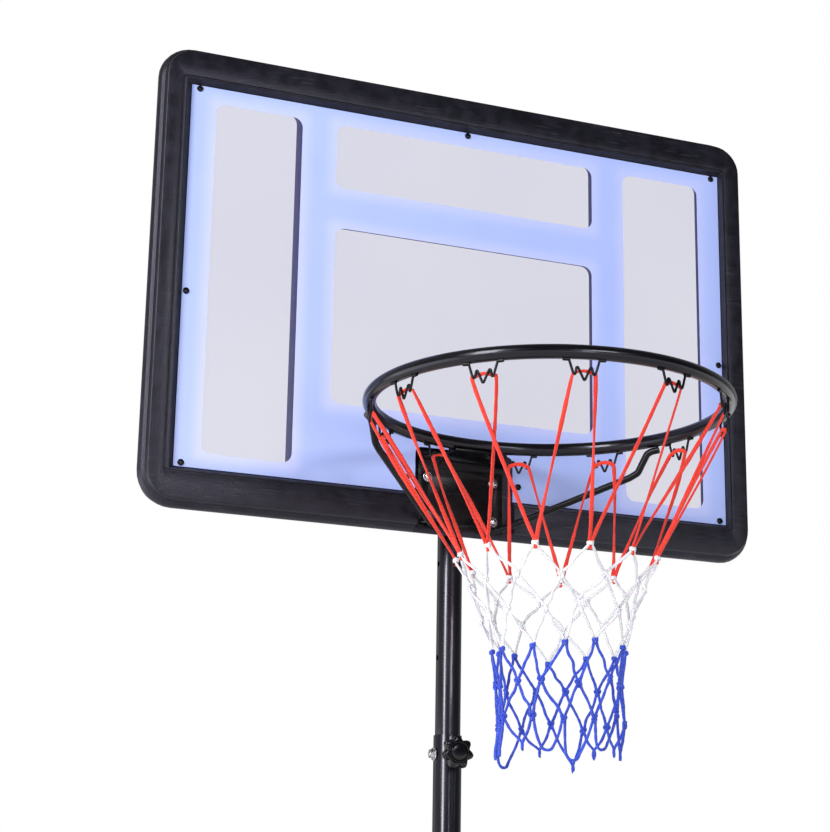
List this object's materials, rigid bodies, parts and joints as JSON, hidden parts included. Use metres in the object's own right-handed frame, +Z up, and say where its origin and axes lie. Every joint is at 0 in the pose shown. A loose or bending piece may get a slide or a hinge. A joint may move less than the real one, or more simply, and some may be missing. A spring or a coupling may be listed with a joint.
{
  "type": "portable basketball hoop",
  "caption": "Free-standing basketball hoop: framed printed backboard, rod-braced round rim with net, telescoping pole with clamp knob, water-filled base tank on wheels.",
  "frame": {"origin": "on the floor under the pole's axis, on the flat underside of the base tank", "axes": "+Z up along the pole; players stand on the -Y side and face +Y to see the board's front; +X is to their right"},
  "size_m": [0.9405, 1.1323, 2.6017],
  "materials": {
    "moulded_black": "satin moulded polyethylene with a faint flow pattern",
    "panel_print": "light blue print on a glossy panel",
    "panel_clear": "clear windows of the same panel",
    "gloss_enamel": "gloss black enamel",
    "black_steel": "semi-gloss black powder coat",
    "bright_zinc": "bright zinc plate",
    "plain_steel": "plain drawn bar",
    "black_plastic": "moulded black plastic",
    "net_red": "red polyester cord",
    "net_white": "white polyester cord",
    "net_blue": "blue twisted polyester cord"
  },
  "bodies": {
    "stand": {"base_tank": "moulded_black", "lower_pole": "gloss_enamel", "middle_pole": "gloss_enamel", "clamp_weld_nut": "black_steel", "height_bolt_washer": "bright_zinc", "height_bolt": "bright_zinc", "axle": "plain_steel", "axle_cap_left": "black_plastic", "axle_cap_right": "black_plastic", "strut_left": "gloss_enamel", "strut_right": "gloss_enamel", "strut_screw_left": "bright_zinc", "strut_screw_right": "bright_zinc", "strut_cross_bolt": "bright_zinc", "strut_cross_nut": "bright_zinc"},
    "mast": {"board_frame": "moulded_black", "board_panel": "panel_print", "panel_screw_top_left": "black_steel", "panel_screw_top_middle": "black_steel", "panel_screw_top_right": "black_steel", "panel_screw_middle_left": "black_steel", "panel_screw_middle_right": "black_steel", "panel_screw_bottom_left": "black_steel", "panel_screw_bottom_right": "black_steel", "panel_screw_pocket_left": "black_steel", "panel_screw_pocket_right": "black_steel", "rim_ring": "gloss_enamel", "rim_bracket": "black_steel", "rim_bolt_upper_left": "bright_zinc", "rim_bolt_upper_right": "bright_zinc", "rim_bolt_lower_left": "bright_zinc", "rim_bolt_lower_right": "bright_zinc", "rim_nut_upper_left": "bright_zinc", "rim_nut_upper_right": "bright_zinc", "rim_nut_lower_left": "bright_zinc", "rim_nut_lower_right": "bright_zinc", "rim_brace_left": "black_steel", "rim_brace_right": "black_steel", "net_hook_01": "black_steel", "net_hook_02": "black_steel", "net_hook_03": "black_steel", "net_hook_04": "black_steel", "net_hook_05": "black_steel", "net_hook_06": "black_steel", "net_hook_07": "black_steel", "net_hook_08": "black_steel", "net_hook_09": "black_steel", "net_hook_10": "black_steel", "net_hook_11": "black_steel", "net_hook_12": "black_steel", "net": "net_red", "pole_head_bracket": "black_steel", "head_cross_bolt": "bright_zinc", "head_cross_nut": "bright_zinc", "upper_pole": "gloss_enamel", "pole_top_plug": "black_plastic"},
    "clamp_knob": {"clamp_knob": "black_plastic"},
    "wheel_left": {"wheel_left": "black_plastic"},
    "wheel_right": {"wheel_right": "black_plastic"},
    "filler_cap": {"filler_cap": "black_plastic"}
  },
  "joints": [
    {"name": "mast_slide", "type": "slide", "parent": "stand", "child": "mast", "axis": [0, 0, 1], "range_m": [-0.269, 0.4035]},
    {"name": "knob_turn", "type": "hinge", "parent": "stand", "child": "clamp_knob", "pos_m": [0, 0, 1.627], "axis": [0, -1, 0], "continuous": true},
    {"name": "wheel_left_spin", "type": "hinge", "parent": "stand", "child": "wheel_left", "pos_m": [-0.23, -0.16, 0.059], "axis": [1, 0, 0], "continuous": true},
    {"name": "wheel_right_spin", "type": "hinge", "parent": "stand", "child": "wheel_right", "pos_m": [0.23, -0.16, 0.059], "axis": [1, 0, 0], "continuous": true},
    {"name": "filler_cap_lift", "type": "slide", "parent": "stand", "child": "filler_cap", "axis": [0, 0, 1], "range_m": [0, 0.06]}
  ]
}
